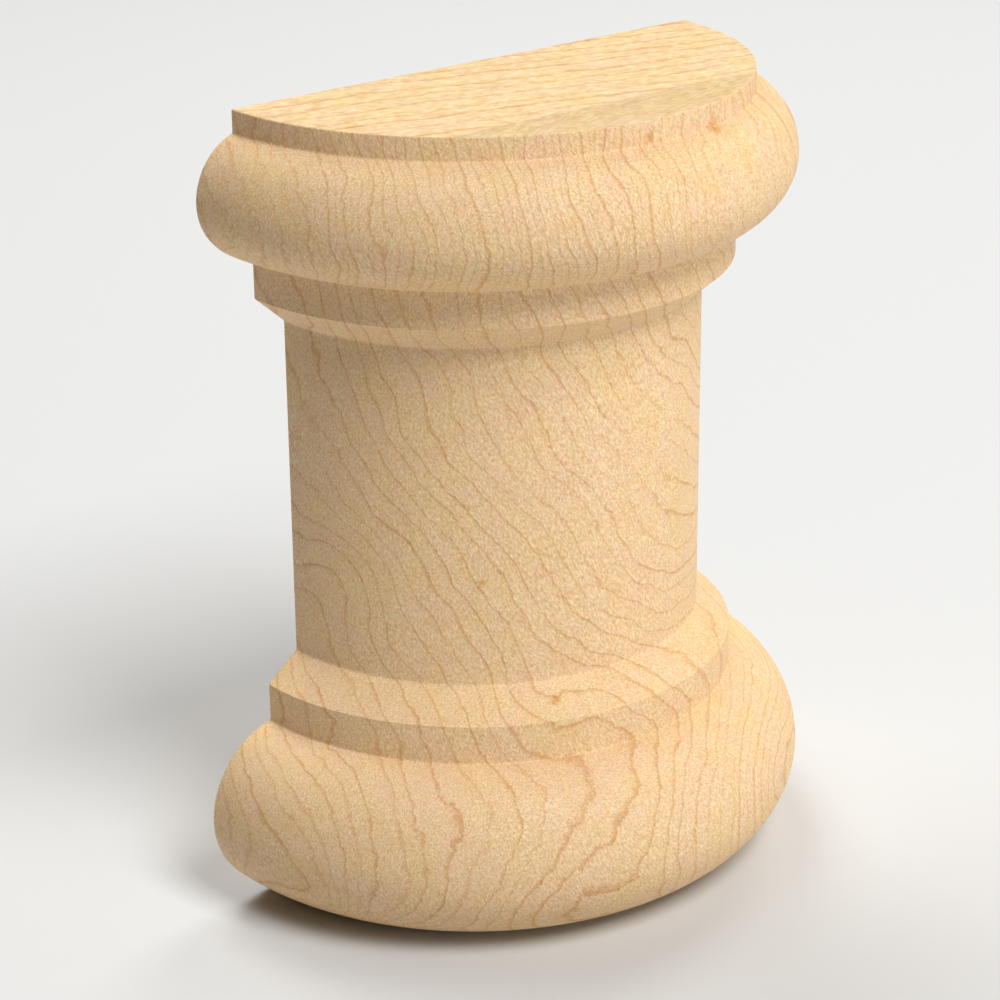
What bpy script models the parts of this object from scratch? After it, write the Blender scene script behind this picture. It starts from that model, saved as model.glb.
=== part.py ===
"""Half spindle: a short turned maple column split down its axis, with a flat back.

Metres, +Z up. The piece stands on its half-round foot. Its front faces -Y, its flat back faces +Y,
and the origin is under the middle of its bounding box. The outline stacks, from the floor up: base bead,
base fillet, base bevel, shaft, neck bevel, neck fillet, upper bead and top fillet.
"""

import math

import bmesh
import bpy

NAME = "half_spindle"

# Radii of the turning, from the axis that the saw cut runs through
BASE_BEAD_RADIUS = 0.04445  # half of the 88.9 mm square blank
FOOT_RADIUS = 0.03265  # flat underside
BASE_FILLET_RADIUS = 0.03485
SHAFT_RADIUS = 0.0303
NECK_FILLET_RADIUS = 0.0346
UPPER_BEAD_RADIUS = 0.0425
TOP_FILLET_RADIUS = 0.0368

# Heights of the members, from the floor up
BASE_BEAD_HEIGHT = 0.0246
BASE_FILLET_HEIGHT = 0.00525
BASE_BEVEL_HEIGHT = 0.0038
SHAFT_LENGTH = 0.0458
NECK_BEVEL_HEIGHT = 0.0038
NECK_FILLET_HEIGHT = 0.005
UPPER_BEAD_HEIGHT = 0.01665
TOP_FILLET_HEIGHT = 0.00305

# Height of each bead's widest line above the bead's own foot
BASE_BEAD_WIDEST = 0.0124
UPPER_BEAD_WIDEST = 0.0086

# How far in from a bead's joint its arc is centred, as a share of the bulge beyond that joint
BASE_BEAD_INSET_BELOW = 0.155
BASE_BEAD_INSET_ABOVE = 0.23
UPPER_BEAD_INSET_BELOW = 0.365
UPPER_BEAD_INSET_ABOVE = 0.48

# Facets: round the half turn, and along each half of a bead
HALF_TURN_STEPS = 72
ARC_STEPS = 9

MERGE_DISTANCE = 0.00001
SMOOTH_BELOW = math.radians(20)

MAPLE = (0.80, 0.59, 0.36, 1.0)
MAPLE_ROUGHNESS = 0.55


def clear_scene():
    for old in list(bpy.data.objects):
        bpy.data.objects.remove(old, do_unlink=True)


def maple():
    """Pale sanded hard maple."""
    material = bpy.data.materials.new("maple")
    material.use_nodes = True
    shader = material.node_tree.nodes["Principled BSDF"]
    shader.inputs["Base Color"].default_value = MAPLE
    shader.inputs["Roughness"].default_value = MAPLE_ROUGHNESS
    shader.inputs["Metallic"].default_value = 0.0
    return material


def arc_to_widest(joint, widest, inset):
    """Points of an elliptical arc from a bead's joint to its widest line, both ends included.

    joint and widest are (radius, height). The arc's centre is level with the widest line.
    """
    bulge = widest[0] - joint[0]
    centre_radius = joint[0] - inset * bulge
    reach = widest[0] - centre_radius
    start = math.acos(inset / (1 + inset))
    rise = (joint[1] - widest[1]) / math.sin(start)
    points = []
    for step in range(ARC_STEPS + 1):
        angle = start * (1 - step / ARC_STEPS)
        points.append((centre_radius + reach * math.cos(angle), widest[1] + rise * math.sin(angle)))
    return points


def bead(top, widest, foot, inset_above, inset_below):
    """A bead's outline, from its upper joint round the widest line to its lower joint."""
    above = arc_to_widest(top, widest, inset_above)
    below = arc_to_widest(foot, widest, inset_below)
    return above + below[-2::-1]


def outline():
    """The turned outline as (radius, height), from the centre of the top to the centre of the foot."""
    base_bead_top = BASE_BEAD_HEIGHT
    base_fillet_top = base_bead_top + BASE_FILLET_HEIGHT
    shaft_foot = base_fillet_top + BASE_BEVEL_HEIGHT
    shaft_top = shaft_foot + SHAFT_LENGTH
    neck_fillet_foot = shaft_top + NECK_BEVEL_HEIGHT
    upper_bead_foot = neck_fillet_foot + NECK_FILLET_HEIGHT
    upper_bead_top = upper_bead_foot + UPPER_BEAD_HEIGHT
    top = upper_bead_top + TOP_FILLET_HEIGHT
    points = [(0.0, top), (TOP_FILLET_RADIUS, top)]
    points += bead(
        (TOP_FILLET_RADIUS, upper_bead_top),
        (UPPER_BEAD_RADIUS, upper_bead_foot + UPPER_BEAD_WIDEST),
        (NECK_FILLET_RADIUS, upper_bead_foot),
        UPPER_BEAD_INSET_ABOVE,
        UPPER_BEAD_INSET_BELOW,
    )
    points += [
        (NECK_FILLET_RADIUS, neck_fillet_foot),
        (SHAFT_RADIUS, shaft_top),
        (SHAFT_RADIUS, shaft_foot),
        (BASE_FILLET_RADIUS, base_fillet_top),
    ]
    points += bead(
        (BASE_FILLET_RADIUS, base_bead_top),
        (BASE_BEAD_RADIUS, BASE_BEAD_WIDEST),
        (FOOT_RADIUS, 0.0),
        BASE_BEAD_INSET_ABOVE,
        BASE_BEAD_INSET_BELOW,
    )
    points.append((0.0, 0.0))
    return points


def outline_object(collection):
    """The outline as a chain of edges, standing in the plane of the saw cut."""
    points = outline()
    mesh = bpy.data.meshes.new(NAME + "_outline")
    edges = [(i, i + 1) for i in range(len(points) - 1)]
    mesh.from_pydata([(radius, 0.0, height) for radius, height in points], edges, [])
    shape = bpy.data.objects.new(NAME + "_outline", mesh)
    collection.objects.link(shape)
    return shape


def turn_half(shape):
    """Spins the outline half a turn, over the front from +X to -X."""
    screw = shape.modifiers.new("half_turn", "SCREW")
    screw.axis = "Z"
    screw.angle = -math.pi
    screw.steps = HALF_TURN_STEPS
    screw.render_steps = HALF_TURN_STEPS
    screw.use_merge_vertices = True
    screw.merge_threshold = MERGE_DISTANCE
    evaluated = shape.evaluated_get(bpy.context.evaluated_depsgraph_get())
    return bpy.data.meshes.new_from_object(evaluated)


def close_back(mesh):
    """Fills the open saw cut with one flat face, and points every face outwards."""
    solid = bmesh.new()
    solid.from_mesh(mesh)
    bmesh.ops.remove_doubles(solid, verts=solid.verts, dist=MERGE_DISTANCE)
    open_edges = [edge for edge in solid.edges if edge.is_boundary]
    bmesh.ops.holes_fill(solid, edges=open_edges, sides=0)
    bmesh.ops.recalc_face_normals(solid, faces=solid.faces)
    solid.to_mesh(mesh)
    solid.free()


def half_spindle(collection):
    """The whole piece: one solid of wood, with its axis in the plane of the back."""
    shape = outline_object(collection)
    mesh = turn_half(shape)
    bpy.data.objects.remove(shape, do_unlink=True)
    close_back(mesh)
    mesh.name = NAME
    mesh.materials.clear()
    mesh.materials.append(maple())
    mesh.shade_smooth()
    mesh.set_sharp_from_angle(angle=SMOOTH_BELOW)
    spindle = bpy.data.objects.new(NAME, mesh)
    widest = max(radius for radius, height in outline())
    spindle.location = (0.0, widest / 2, 0.0)
    collection.objects.link(spindle)
    return spindle


def main():
    clear_scene()
    collection = bpy.data.collections.new("Half spindle")
    bpy.context.scene.collection.children.link(collection)
    half_spindle(collection)


main()
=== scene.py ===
"""Looks of the half spindle: bare, sanded hard maple, turned and then split down its axis.

Metres, +Z up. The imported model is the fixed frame. One finer mesh stands for its node: the same turned
outline with smooth beads and slightly eased arrises. The maple is a solid material, so its growth rings run
through the piece and come out on every face.
"""

import math

import bmesh
import bpy
from mathutils import Matrix, Vector


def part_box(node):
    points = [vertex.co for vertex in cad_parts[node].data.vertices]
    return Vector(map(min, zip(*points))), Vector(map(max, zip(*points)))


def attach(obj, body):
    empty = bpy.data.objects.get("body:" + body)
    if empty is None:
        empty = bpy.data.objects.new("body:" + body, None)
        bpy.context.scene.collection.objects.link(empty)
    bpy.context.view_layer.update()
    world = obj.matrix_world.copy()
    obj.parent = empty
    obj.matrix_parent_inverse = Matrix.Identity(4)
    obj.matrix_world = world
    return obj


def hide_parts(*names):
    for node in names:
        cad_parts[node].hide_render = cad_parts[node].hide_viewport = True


NODE = "half_spindle"
MM = 0.001

# The finer mesh
CORNER_ANGLE = math.radians(20)
ARRIS = 0.25 * MM
ARRIS_STEPS = 4
CURVE_STEP = 0.5 * MM
STRAIGHT_STEP = 1.6 * MM
TURN_STEPS = 240
BACK_STEPS = 40
ON_PLANE = 0.01 * MM

# Growth rings, in millimetres: spacing, the way they face and how far they lean as they rise
RING_SPACING = 2.7
RING_AZIMUTH = math.radians(67)
LEAN_SWING = 22.0
LEAN_FOOT = -26.0
LEAN_WAVELENGTH = 280.0

# Where the tree bulged, so that the rings swell: centre, reach and push, in millimetres
SWELLS = (
    ((8.0, -2.5, 41.5), 13.5, 23.0),
    ((-26.0, -24.5, -5.5), 11.2, 32.0),
    ((17.5, -9.0, 35.0), 20.0, -40.0),
    ((32.5, -32.5, 21.0), 16.0, 53.0),
    ((-20.0, 15.0, 47.0), 4.3, -34.0),
    ((-32.0, -3.5, 64.5), 6.2, 8.0),
    ((-12.5, -5.5, 28.5), 4.4, 5.5),
    ((-27.5, 9.0, 5.0), 8.3, 38.0),
    ((-32.5, 8.0, 9.0), 4.6, -50.0),
)

# How the rings stray from that: waves as (frequency per millimetre, size in millimetres), small jags, and how
# unevenly wide the rings are, as a share of their spacing
RING_WAVES = ((0.05, 3.0), (0.15, 1.2))
JAG_FREQUENCY = 0.55
CURL_JAG = 1.2
RING_UNEVENNESS = 0.7

# Each ring's brown line, as shares of the ring: its thinnest and broadest, and where it is darkest
LINE_THINNEST = 0.10
LINE_BROADEST = 0.22
LINE_PLACE = 0.95

# Fainter false rings show half way between the true ones, above a height and beyond a distance to the right
FALSE_RING_HEIGHT = 88.0
FALSE_RING_RIGHT = 28.0
FALSE_RING_STRENGTH = 0.65
FALSE_RING_SHIFT = 0.47

# Below this height, near the foot, the rings are broad and soft, and some of them hardly show
SOFT_RING_HEIGHT = 28.0

# Where the rings fade and break up into curly flecks: centre and reach, in millimetres
CURLS = (
    ((-40.5, 12.0, 99.0), 6.0),
    ((10.5, -17.5, 99.0), 7.0),
    ((4.0, -7.5, 63.0), 6.5),
    ((-30.0, 17.5, 66.0), 5.0),
)

# Small pin knots: centre and size, in millimetres
PIN_KNOTS = (
    ((10.2, -13.5, 104.8), 0.85),
    ((-1.3, -14.6, 105.8), 0.5),
    ((-18.1, -2.1, 47.8), 0.34),
    ((-11.1, -8.4, 31.7), 0.34),
)

# The fibres lean to the left as they rise
FIBRE_AZIMUTH = math.radians(-100)
FIBRE_LEAN = math.radians(30)
FIBRE_STRETCH = 3.0
FIBRE_WANDER = 4.0

# The end grain: rings nearly along the back, and closer rings and painted shade in a strip along the top's
# front rim
END_RING_SPACING = 3.4
END_RING_SLOPE = math.radians(14.4)
END_LINE_WIDTH = 1.6
END_RAGGEDNESS = 0.7
END_STRETCH = 1.7
STRIP_START = -5.2
STRIP_RING_SPACING = 0.95
STRIP_RING_SLOPE = math.radians(-15)
SKIN = 0.05

# Linear colours in plain light
YELLOW_MAPLE_COLOUR = (0.783, 0.549, 0.292, 1.0)
PINK_MAPLE_COLOUR = (0.785, 0.542, 0.320, 1.0)
RING_TINT = (0.80, 0.65, 0.50, 1.0)
KNOT_TINT = (0.86, 0.66, 0.42, 1.0)

# How far each mark lightens the wood, and the share of that in red, green and blue. Below zero it darkens it.
STROKE_TONE = 0.59
FLECK_TONE = 0.07
CURL_FLECK_TONE = 0.12
PATCH_TONE = 0.07
RING_SHADE_TONE = -0.06
# The darkening of the top's strip is painted shade, not a colour of the wood
STRIP_PAINTED_SHADE_TONE = -0.14
END_GRAIN_TONE = -0.045
STROKE_WEIGHTS = (0.55, 1.0, 1.27)
FLECK_WEIGHTS = (0.42, 1.0, 1.65)
MOTTLE_WEIGHTS = (0.20, 0.0, 0.34)
# Share of the strip's painted shade in red, green and blue
STRIP_PAINTED_SHADE_WEIGHTS = (1.0, 1.0, 1.15)
END_GRAIN_WEIGHTS = (1.0, 0.0, 0.0)

# The sanded surface
SHEEN = 0.25
ROUGHNESS = 0.58
RELIEF_HEIGHT = 0.02 * MM
RELIEF_STRENGTH = 0.35

# The camera, at the photograph's angle
CAMERA_AIM = (0.0011, 0.0182, 0.0480)
CAMERA_AZIMUTH = math.radians(-38.11)
CAMERA_ELEVATION = math.radians(22.22)
CAMERA_ROLL = math.radians(-0.53)
CAMERA_DISTANCE = 0.4007
CAMERA_LENS = 106.4
CAMERA_SENSOR = 36.0

# Square lights that look at the middle of the piece: azimuth and elevation in degrees, and power in watts
LIGHT_DISTANCE = 1.2
LIGHT_SIZE = 0.5
LIGHTS = (
    ("key", 0, 52, 12.4),
    ("low_front", 20, 10, 2.5),
    ("low_right", 65, 10, 1.8),
    ("back_right", 115, 40, 4.6),
    ("behind", 165, 55, 6.6),
    ("back_left", -150, 55, 2.0),
)
LIGHTS_WITHOUT_GLOSS = ("back_right", "behind")

FLOOR_SIZE = 6.0
FLOOR_COLOUR = (0.64, 0.64, 0.63, 1.0)
SKY_COLOUR = (1.0, 0.99, 0.97, 1.0)
SKY_STRENGTH = 0.03


def direction(azimuth, elevation):
    """Unit vector towards a place seen at that azimuth and elevation. Azimuth 0 is in front, at -Y."""
    flat = math.cos(elevation)
    return Vector((math.sin(azimuth) * flat, -math.cos(azimuth) * flat, math.sin(elevation)))


def cad_outline(node):
    """The turned outline, top to bottom, as (radius, height), read along the node's back plane."""
    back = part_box(node.name)[1].y
    on_back = [v.co for v in node.data.vertices if v.co.x > ON_PLANE and back - v.co.y < ON_PLANE]
    points = {(round(co.x, 6), round(co.z, 6)) for co in on_back}
    return [Vector(point) for point in sorted(points, key=lambda point: -point[1])]


def turn_at(points, i):
    """Signed angle by which the outline turns at a point. It is positive at a hollow corner."""
    before = points[i] - points[i - 1]
    after = points[i + 1] - points[i]
    return before.angle_signed(after)


def divide(start, end, spacing):
    """Points from the start to the end, about one spacing apart."""
    count = max(1, round((end - start).length / spacing))
    return [start.lerp(end, step / count) for step in range(count + 1)]


def catmull_rom(guide, t):
    """Point at share t between the middle two of four guide points."""
    a, b, c, d = guide
    return 0.5 * (2 * b + (c - a) * t + (2 * a - 5 * b + 4 * c - d) * t**2 + (3 * b - a - 3 * c + d) * t**3)


def smooth_run(points):
    """A run of outline points between two corners, made finer: straight, or a smooth curve through them."""
    if len(points) == 2:
        return divide(points[0], points[1], STRAIGHT_STEP)
    first = points[0] * 2 - points[1]
    last = points[-1] * 2 - points[-2]
    guide = [first] + points + [last]
    fine = []
    for i in range(1, len(guide) - 2):
        count = max(1, round((guide[i + 1] - guide[i]).length / CURVE_STEP))
        for step in range(count):
            fine.append(catmull_rom(guide[i - 1 : i + 3], step / count))
    return fine + [points[-1]]


def bend(start, corner, end, t):
    """Point at share t along the small round that stands for a corner."""
    return start * (1 - t) ** 2 + corner * 2 * t * (1 - t) + end * t**2


def eased(before, corner, after):
    """A small round over an arris, between the points before and after the corner."""
    start = corner + (before - corner).normalized() * ARRIS
    end = corner + (after - corner).normalized() * ARRIS
    return [bend(start, corner, end, step / ARRIS_STEPS) for step in range(ARRIS_STEPS + 1)]


def fine_outline(points):
    """The CAD outline with smooth beads and eased arrises, from the flat top to the flat underside."""
    corners = [i for i in range(1, len(points) - 1) if abs(turn_at(points, i)) > CORNER_ANGLE]
    ends = [0] + corners + [len(points) - 1]
    runs = [smooth_run(points[a : b + 1]) for a, b in zip(ends, ends[1:])]
    inwards = Vector((-1.0, 0.0))
    fine = eased(points[0] + inwards, points[0], runs[0][1])
    for i, run in enumerate(runs):
        fine += run[1:-1]
        if i < len(corners):
            if turn_at(points, corners[i]) > 0:
                fine.append(points[corners[i]])
            else:
                fine += eased(run[-2], run[-1], runs[i + 1][1])
    fine += eased(runs[-1][-2], points[-1], points[-1] + inwards)
    return fine


def section(radius, setback):
    """One level of the half turning, as (x, y) from the axis: along the back, then round the front.

    setback is how far the back's plane stands in from the saw cut, where the top or foot arris is eased.
    """
    half_back = math.sqrt(radius**2 - setback**2)
    corner = Vector((half_back, -setback))
    last_angle = math.asin(half_back / radius) - ARRIS / radius
    on_back = Vector((half_back - ARRIS, -setback))
    on_front = Vector((radius * math.sin(last_angle), -radius * math.cos(last_angle)))
    right = [bend(on_back, corner, on_front, step / ARRIS_STEPS) for step in range(ARRIS_STEPS)]
    left = [Vector((-point.x, point.y)) for point in right[::-1]]
    front = []
    for step in range(TURN_STEPS + 1):
        angle = last_angle * (1 - 2 * step / TURN_STEPS)
        front.append(Vector((radius * math.sin(angle), -radius * math.cos(angle))))
    back = divide(left[-1], right[0], (right[0] - left[-1]).length / BACK_STEPS)[1:-1]
    return back + right + front + left


def setback_at(point, top, foot):
    """How far the back stands in from the saw cut at a point of the outline."""
    if point.y > top.y - ARRIS:
        return top.x - point.x
    if point.y < foot.y + ARRIS and point.x < foot.x:
        return foot.x - point.x
    return 0.0


def turned_half(node, material):
    """The finer mesh that stands for the node."""
    coarse = cad_outline(node)
    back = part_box(node.name)[1].y
    shape = bmesh.new()
    levels = []
    for point in fine_outline(coarse):
        ring = section(point.x, setback_at(point, coarse[0], coarse[-1]))
        levels.append([shape.verts.new((x, back + y, point.y)) for x, y in ring])
    for upper, lower in zip(levels, levels[1:]):
        for i in range(len(upper)):
            j = (i + 1) % len(upper)
            shape.faces.new((upper[i], upper[j], lower[j], lower[i]))
    shape.faces.new(levels[0])
    shape.faces.new(levels[-1][::-1])
    bmesh.ops.recalc_face_normals(shape, faces=shape.faces)
    mesh = bpy.data.meshes.new("turned_half")
    shape.to_mesh(mesh)
    shape.free()
    mesh.shade_smooth()
    mesh.set_sharp_from_angle(angle=CORNER_ANGLE)
    mesh.materials.append(material)
    piece = bpy.data.objects.new("turned_half", mesh)
    bpy.context.scene.collection.objects.link(piece)
    weighted = piece.modifiers.new("weighted_normals", "WEIGHTED_NORMAL")
    weighted.keep_sharp = True
    return piece


class Nodes:
    """Adds nodes to a material's tree, each one linked to what it reads."""

    def __init__(self, tree):
        self.tree = tree

    def add(self, kind, inputs=(), **settings):
        node = self.tree.nodes.new(kind)
        for name, value in settings.items():
            setattr(node, name, value)
        for socket, value in dict(inputs).items():
            if isinstance(value, bpy.types.NodeSocket):
                self.tree.links.new(value, node.inputs[socket])
            else:
                node.inputs[socket].default_value = value
        return node

    def math(self, operation, a, b=0.0, c=0.0):
        return self.add("ShaderNodeMath", {0: a, 1: b, 2: c}, operation=operation).outputs[0]

    def vector(self, operation, a, b):
        return self.add("ShaderNodeVectorMath", {0: a, 1: b}, operation=operation).outputs["Vector"]

    def measure(self, operation, a, b):
        """The number that comes of two vectors, such as their distance."""
        return self.add("ShaderNodeVectorMath", {0: a, 1: b}, operation=operation).outputs["Value"]

    def scale(self, vector, factor):
        inputs = {0: vector, "Scale": factor}
        return self.add("ShaderNodeVectorMath", inputs, operation="SCALE").outputs["Vector"]

    def split(self, vector):
        """The vector's three numbers: across to the right, back and up."""
        return self.add("ShaderNodeSeparateXYZ", {0: vector}).outputs

    def noise(self, vector, scale, detail=2.0, roughness=0.5):
        """Smooth noise, from about -1 to 1 round zero."""
        inputs = {"Vector": vector, "Scale": scale, "Detail": detail, "Roughness": roughness}
        value = self.add("ShaderNodeTexNoise", inputs).outputs[0]
        return self.math("MULTIPLY_ADD", value, 2.0, -1.0)

    def remap(self, value, low, high, to_low=0.0, to_high=1.0, smooth=False):
        kind = "SMOOTHSTEP" if smooth else "LINEAR"
        inputs = {"Value": value, 1: low, 2: high, 3: to_low, 4: to_high}
        return self.add("ShaderNodeMapRange", inputs, interpolation_type=kind).outputs[0]

    def blend(self, share, a, b):
        """The number a where the share is 0, and b where it is 1."""
        return self.math("MULTIPLY_ADD", share, self.math("SUBTRACT", b, a), a)

    def mix(self, share, a, b, mode="MIX"):
        """The colour a where the share is 0, and where it is 1 b, or a times b in the mode MULTIPLY."""
        inputs = {0: share, 6: a, 7: b}
        return self.add("ShaderNodeMix", inputs, data_type="RGBA", blend_type=mode).outputs[2]


def nearness(nodes, place, centre, reach):
    """1 at the centre, falling smoothly to 0 within about three times the reach."""
    distance = nodes.measure("DISTANCE", place, centre)
    fall = nodes.math("MULTIPLY", nodes.math("POWER", distance, 2.0), -0.5 / reach**2)
    return nodes.math("EXPONENT", fall)


def curliness(nodes, place):
    """How far the figure breaks up into curls, from 0 to 1."""
    curl = 0.0
    for centre, reach in CURLS:
        curl = nodes.math("ADD", nearness(nodes, place, centre, reach), curl)
    return curl


def ring_depth(nodes, place):
    """How deep a point of the sides or the back lies across the growth rings, in millimetres."""
    depth = nodes.measure("DOT_PRODUCT", place, direction(RING_AZIMUTH, 0.0))
    per_mm = math.tau / LEAN_WAVELENGTH
    turn = nodes.math("MULTIPLY_ADD", nodes.split(place)[2], per_mm, -LEAN_FOOT * per_mm)
    depth = nodes.math("MULTIPLY_ADD", nodes.math("COSINE", turn), -LEAN_SWING, depth)
    for centre, reach, push in SWELLS:
        depth = nodes.math("MULTIPLY_ADD", nearness(nodes, place, centre, reach), push, depth)
    return depth


def sloping_depth(nodes, place, slope):
    """Depth across end-grain rings that stand upright and run along the back, turned by a slope."""
    facing = (-math.sin(slope), -math.cos(slope), 0.0)
    return nodes.measure("DOT_PRODUCT", place, facing)


def ring_number(nodes, place, depth, spacing, ragged, curl):
    """Which ring a point lies in. The fraction is the share of that ring. The rings wave and are uneven."""
    for frequency, size in RING_WAVES:
        depth = nodes.math("MULTIPLY_ADD", nodes.noise(place, frequency, 1.0), size, depth)
    ragged = nodes.math("MULTIPLY", nodes.remap(nodes.noise(place, 0.07, 1.0), -0.3, 0.4, 0.5, 1.5), ragged)
    ragged = nodes.math("MULTIPLY_ADD", curl, CURL_JAG, ragged)
    jag = nodes.math("MULTIPLY", nodes.noise(place, JAG_FREQUENCY, 3.0, 0.62), ragged)
    ring = nodes.math("DIVIDE", nodes.math("ADD", depth, jag), spacing)
    uneven = nodes.add("ShaderNodeTexNoise", {"W": ring, "Scale": 0.8, "Detail": 1.0}, noise_dimensions="1D")
    return nodes.math("MULTIPLY_ADD", uneven.outputs[0], RING_UNEVENNESS, ring)


def ring_edge(nodes, ring, thick):
    """1 on the thin brown edge of each ring, which is crisper on its outer side."""
    share = nodes.math("FRACT", ring)
    rise = nodes.remap(share, nodes.math("SUBTRACT", LINE_PLACE, thick), LINE_PLACE, smooth=True)
    fall = nodes.remap(share, LINE_PLACE - 0.005, 1.0, 1.0, 0.0, smooth=True)
    return nodes.math("MULTIPLY", rise, fall)


def ring_lines(nodes, place, depth, spacing, width, ragged, curl=0.0, faintest=0.75, false_ring=0.0):
    """(line, shade): the brown line that ends each ring, and the slow darkening towards it.

    width makes the lines broader, ragged is the size of their jags in millimetres, curl how far the figure
    breaks up, faintest the strength of the faintest ring, and false_ring the strength of the false rings.
    """
    ring = ring_number(nodes, place, depth, spacing, ragged, curl)
    along = nodes.remap(nodes.noise(place, 0.25, 2.0, 0.6), -0.4, 0.3, 0.65, 1.0)
    along = nodes.math("MULTIPLY", along, nodes.math("MULTIPLY_ADD", curl, -0.6, 1.0))
    strength = nodes.add("ShaderNodeTexWhiteNoise", {"W": nodes.math("FLOOR", ring)}, noise_dimensions="1D")
    strength = nodes.remap(strength.outputs[0], 0.15, 0.6, faintest, 1.0)
    strength = nodes.math("MULTIPLY", strength, along)
    thick = nodes.remap(nodes.noise(place, 0.35, 1.0), 0.0, 0.45, LINE_THINNEST, LINE_BROADEST)
    thick = nodes.math("MULTIPLY", thick, width)
    line = nodes.math("MULTIPLY", ring_edge(nodes, ring, thick), strength)
    between = nodes.math("ADD", ring, FALSE_RING_SHIFT)
    between = ring_edge(nodes, between, nodes.math("MULTIPLY", thick, 0.8))
    between = nodes.math("MULTIPLY", between, nodes.math("MULTIPLY", along, false_ring))
    line = nodes.math("MAXIMUM", line, between)
    shade = nodes.math("POWER", nodes.remap(nodes.math("FRACT", ring), 0.45, 0.96), 2.0)
    return line, nodes.math("MULTIPLY", shade, strength)


def side_rings(nodes, place, curl):
    """(line, shade) on the turned sides and the back."""
    across, _, height = nodes.split(place)
    beyond = nodes.remap(across, FALSE_RING_RIGHT - 4.0, FALSE_RING_RIGHT + 4.0)
    above = nodes.remap(height, FALSE_RING_HEIGHT - 3.0, FALSE_RING_HEIGHT + 3.0)
    false_ring = nodes.math("MULTIPLY", nodes.math("MAXIMUM", above, beyond), FALSE_RING_STRENGTH)
    soft = nodes.remap(height, SOFT_RING_HEIGHT + 8.0, SOFT_RING_HEIGHT - 8.0)
    soft = nodes.math("MULTIPLY", soft, nodes.math("SUBTRACT", 1.0, beyond))
    width = nodes.blend(soft, 1.0, 1.8)
    ragged = nodes.blend(soft, 0.4, 0.75)
    faintest = nodes.blend(soft, 0.75, 0.55)
    depth = ring_depth(nodes, place)
    line, shade = ring_lines(nodes, place, depth, RING_SPACING, width, ragged, curl, faintest, false_ring)
    return nodes.math("MULTIPLY", line, nodes.blend(soft, 0.85, 0.8)), shade


def top_strip(nodes, place):
    """Share of the strip along the top's front rim, which has closer rings and painted shade. It is strongest
    where the strip starts.
    """
    front = nodes.split(place)[1]
    edge = nodes.math("MULTIPLY_ADD", nodes.noise(place, 0.3, 2.0), 0.5, front)
    inside = nodes.remap(edge, STRIP_START + 0.3, STRIP_START - 0.3)
    return nodes.math("MULTIPLY", inside, nodes.remap(front, STRIP_START - 9.0, STRIP_START, 0.6, 1.0))


def end_rings(nodes, place, strip):
    """(line, shade) on the end-grain top and underside. The top's strip has closer rings."""
    depth = sloping_depth(nodes, place, END_RING_SLOPE)
    line, shade = ring_lines(nodes, place, depth, END_RING_SPACING, END_LINE_WIDTH, END_RAGGEDNESS)
    depth = sloping_depth(nodes, place, STRIP_RING_SLOPE)
    close = ring_lines(nodes, place, depth, STRIP_RING_SPACING, END_LINE_WIDTH, END_RAGGEDNESS)
    line = nodes.blend(strip, line, nodes.math("MULTIPLY", close[0], 0.6))
    return line, nodes.blend(strip, shade, close[1])


def along_fibres(nodes, place, fibre, stretch):
    """The same place with the fibres' direction made shorter, so that noise there comes out as strokes."""
    side = fibre.cross(Vector((0.0, 1.0, 0.0))).normalized()
    axes = (side, fibre.cross(side), fibre / stretch)
    parts = [nodes.measure("DOT_PRODUCT", place, axis) for axis in axes]
    return nodes.add("ShaderNodeCombineXYZ", dict(enumerate(parts))).outputs[0]


def side_strokes(nodes, place):
    """Fine fibre strokes on the sides and the back, which lean to the left and wander a little."""
    wander = nodes.add("ShaderNodeTexNoise", {"Vector": place, "Scale": 0.07, "Detail": 1.0}).outputs["Color"]
    bent = nodes.vector("ADD", place, nodes.scale(wander, FIBRE_WANDER))
    fibre = direction(FIBRE_AZIMUTH, math.pi / 2 - FIBRE_LEAN)
    return nodes.noise(along_fibres(nodes, bent, fibre, FIBRE_STRETCH), 5.2, 1.0, 0.7)


def end_strokes(nodes, place, slope):
    """Fine streaks along the rings of the end grain."""
    along = Vector((math.cos(slope), -math.sin(slope), 0.0))
    streaks = nodes.noise(along_fibres(nodes, place, along, END_STRETCH), 1.3, 2.0, 0.7)
    return nodes.math("MULTIPLY", streaks, 0.8)


def sanding_marks(nodes, place):
    """Fine upright scratches on the flat back, from its last sanding."""
    along = Vector((0.05, 0.0, 1.0)).normalized()
    marks = nodes.noise(along_fibres(nodes, place, along, 30.0), 3.5, 2.0, 0.7)
    on_back = nodes.math("GREATER_THAN", nodes.split(place)[1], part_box(NODE)[1].y / MM - SKIN)
    return nodes.math("MULTIPLY", marks, on_back)


def pin_knots(nodes, place):
    """Share of a small brown knot at a point."""
    ragged = nodes.math("MULTIPLY", nodes.noise(place, 1.5, 2.0), 0.9)
    share = 0.0
    for centre, size in PIN_KNOTS:
        distance = nodes.math("ADD", nodes.measure("DISTANCE", place, centre), ragged)
        share = nodes.math("MAXIMUM", nodes.remap(distance, size * 2.5, 0.0, smooth=True), share)
    return share


def toned(nodes, colour, tone, weights):
    """A colour made lighter by a tone, by its own weight in each channel."""
    change = nodes.vector("ADD", nodes.scale(weights, tone), (1.0, 1.0, 1.0))
    return nodes.vector("MULTIPLY", colour, change)


def mottled(nodes, colour, place):
    """A colour with small faint patches that are redder or greener, bluer or yellower."""
    inputs = {"Vector": place, "Scale": 0.8, "Detail": 3.0, "Roughness": 0.7}
    patches = nodes.add("ShaderNodeTexNoise", inputs).outputs["Color"]
    change = nodes.vector("SUBTRACT", patches, (0.5, 0.5, 0.5))
    change = nodes.vector("MULTIPLY", change, MOTTLE_WEIGHTS)
    change = nodes.vector("ADD", change, (1.0, 1.0, 1.0))
    return nodes.vector("MULTIPLY", colour, change)


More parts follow.
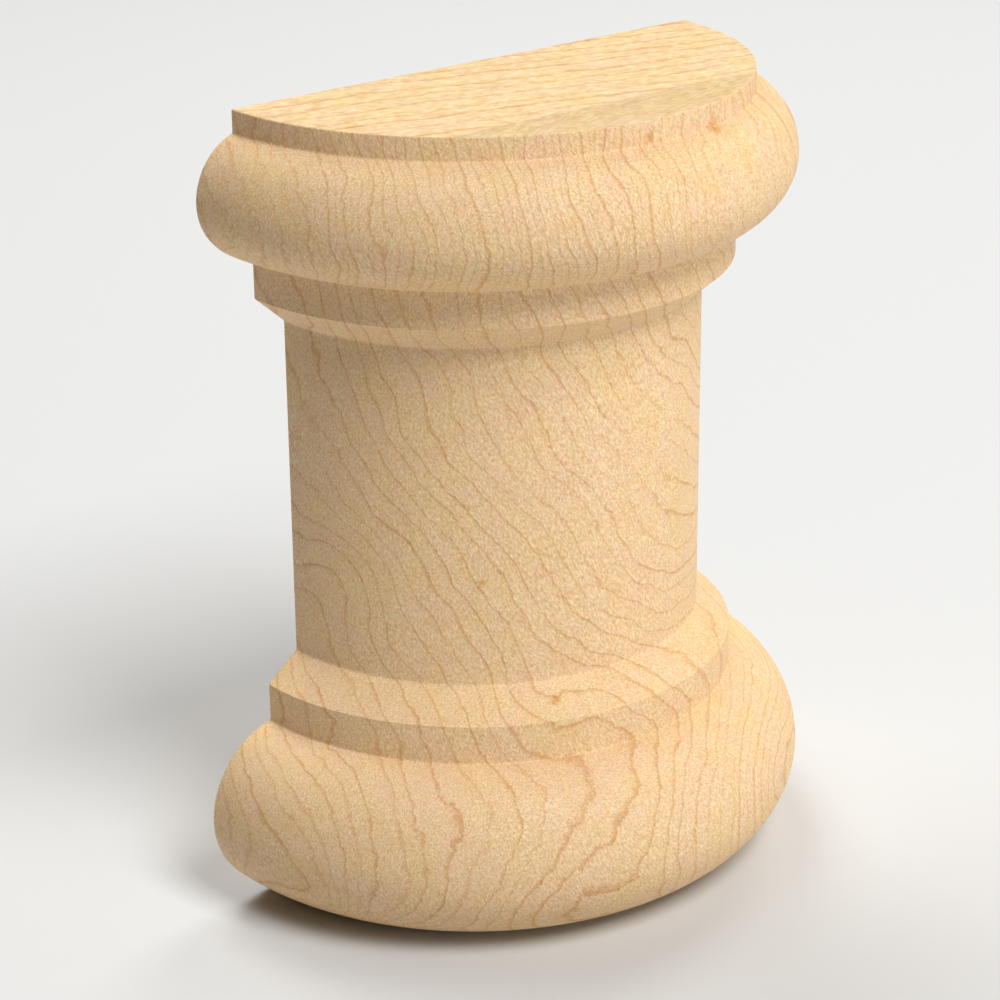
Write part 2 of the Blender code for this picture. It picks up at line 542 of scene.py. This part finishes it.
def new_material(name):
    """(material, shader): a new material and the shader in it."""
    material = bpy.data.materials.new(name)
    material.use_nodes = True
    return material, material.node_tree.nodes["Principled BSDF"]


def maple():
    """Bare sanded hard maple: cream wood, thin brown growth-ring lines, fine flecks and soft blotches."""
    material, shader = new_material("sanded_maple")
    shader.inputs["Specular IOR Level"].default_value = SHEEN
    nodes = Nodes(material.node_tree)
    place = nodes.scale(nodes.add("ShaderNodeTexCoord").outputs["Object"], 1 / MM)
    height = nodes.split(place)[2]
    on_top = nodes.math("GREATER_THAN", height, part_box(NODE)[1].z / MM - SKIN)
    on_end = nodes.math("MAXIMUM", on_top, nodes.math("LESS_THAN", height, SKIN))

    curl = curliness(nodes, place)
    strip = nodes.math("MULTIPLY", on_top, top_strip(nodes, place))
    side_line, side_shade = side_rings(nodes, place, curl)
    end_line, end_shade = end_rings(nodes, place, strip)
    line = nodes.blend(on_end, side_line, end_line)
    shade = nodes.blend(on_end, side_shade, end_shade)
    streaks = end_strokes(nodes, place, END_RING_SLOPE)
    streaks = nodes.blend(strip, streaks, end_strokes(nodes, place, STRIP_RING_SLOPE))
    stroke = nodes.blend(on_end, side_strokes(nodes, place), streaks)
    fleck = nodes.noise(place, 1.1, 2.0, 0.7)
    patch = nodes.noise(place, 0.3, 2.0)

    blotch = nodes.remap(nodes.noise(place, 0.16, 2.0, 0.6), -0.2, 0.2)
    colour = nodes.mix(blotch, YELLOW_MAPLE_COLOUR, PINK_MAPLE_COLOUR)
    colour = mottled(nodes, colour, place)
    fleck_tone = nodes.math("MULTIPLY_ADD", curl, CURL_FLECK_TONE, FLECK_TONE)
    tones = (
        (stroke, STROKE_TONE, STROKE_WEIGHTS),
        (fleck, fleck_tone, FLECK_WEIGHTS),
        (patch, PATCH_TONE, FLECK_WEIGHTS),
        (shade, RING_SHADE_TONE, FLECK_WEIGHTS),
        # Painted shade: the top's strip along the front rim is darkened here
        (strip, STRIP_PAINTED_SHADE_TONE, STRIP_PAINTED_SHADE_WEIGHTS),
        (on_end, END_GRAIN_TONE, END_GRAIN_WEIGHTS),
    )
    for mark, tone, weights in tones:
        colour = toned(nodes, colour, nodes.math("MULTIPLY", mark, tone), weights)
    colour = nodes.mix(line, colour, RING_TINT, "MULTIPLY")
    colour = nodes.mix(pin_knots(nodes, place), colour, KNOT_TINT, "MULTIPLY")
    material.node_tree.links.new(colour, shader.inputs["Base Color"])

    scratches = sanding_marks(nodes, place)
    rough = ROUGHNESS
    for mark, change in ((fleck, 0.08), (stroke, 0.06), (line, 0.1), (scratches, 0.1)):
        rough = nodes.math("MULTIPLY_ADD", mark, change, rough)
    material.node_tree.links.new(rough, shader.inputs["Roughness"])

    relief = nodes.math("MULTIPLY_ADD", scratches, 1.5, nodes.math("MULTIPLY", stroke, 0.8))
    inputs = {"Height": relief, "Strength": RELIEF_STRENGTH, "Distance": RELIEF_HEIGHT}
    bump = nodes.add("ShaderNodeBump", inputs)
    material.node_tree.links.new(bump.outputs[0], shader.inputs["Normal"])
    return material


def stage_floor():
    """Plain pale floor under the piece."""
    material, shader = new_material("floor")
    shader.inputs["Base Color"].default_value = FLOOR_COLOUR
    shader.inputs["Roughness"].default_value = 0.9
    shader.inputs["Specular IOR Level"].default_value = 0.1
    bpy.ops.mesh.primitive_plane_add(size=FLOOR_SIZE, location=(0.0, 0.0, 0.0))
    floor = bpy.context.object
    floor.name = "floor"
    floor.data.materials.append(material)


def area_light(name, azimuth, elevation, power):
    """A soft square light that looks at the middle of the piece."""
    light = bpy.data.lights.new(name, "AREA")
    light.shape = "SQUARE"
    light.size = LIGHT_SIZE
    light.energy = power
    lamp = bpy.data.objects.new(name, light)
    towards = direction(math.radians(azimuth), math.radians(elevation))
    lamp.location = Vector(CAMERA_AIM) + towards * LIGHT_DISTANCE
    lamp.rotation_mode = "QUATERNION"
    lamp.rotation_quaternion = towards.to_track_quat("Z", "Y")
    lamp.visible_camera = False
    lamp.visible_glossy = name not in LIGHTS_WITHOUT_GLOSS
    bpy.context.scene.collection.objects.link(lamp)


def studio():
    """Soft key from the front, two weak low lights to the right, and three lights behind the piece."""
    world = bpy.data.worlds.new("studio")
    world.use_nodes = True
    background = world.node_tree.nodes["Background"]
    background.inputs["Color"].default_value = SKY_COLOUR
    background.inputs["Strength"].default_value = SKY_STRENGTH
    bpy.context.scene.world = world
    for light in LIGHTS:
        area_light(*light)
    bpy.context.scene.view_settings.view_transform = "Standard"


def camera():
    """Puts the camera where the photograph was taken from."""
    data = bpy.data.cameras.new("camera")
    data.sensor_width = CAMERA_SENSOR
    data.lens = CAMERA_LENS
    data.clip_start = 0.01
    data.clip_end = 20.0
    eye = bpy.data.objects.new("camera", data)
    back = direction(CAMERA_AZIMUTH, CAMERA_ELEVATION)
    level = back.to_track_quat("Z", "Y").to_matrix()
    turned = level @ Matrix.Rotation(CAMERA_ROLL, 3, "Z")
    eye.rotation_mode = "QUATERNION"
    eye.rotation_quaternion = turned.to_quaternion()
    eye.location = Vector(CAMERA_AIM) + back * CAMERA_DISTANCE
    bpy.context.scene.collection.objects.link(eye)
    bpy.context.scene.camera = eye


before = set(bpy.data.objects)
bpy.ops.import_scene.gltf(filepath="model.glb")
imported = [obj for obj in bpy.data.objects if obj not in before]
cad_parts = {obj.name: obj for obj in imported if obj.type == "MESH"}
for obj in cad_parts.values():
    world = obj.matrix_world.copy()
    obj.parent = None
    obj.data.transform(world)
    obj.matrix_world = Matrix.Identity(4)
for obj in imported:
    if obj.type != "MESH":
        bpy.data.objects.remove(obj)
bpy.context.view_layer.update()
piece = turned_half(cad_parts[NODE], maple())
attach(piece, "root")
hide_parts(NODE)
stage_floor()
studio()
camera()
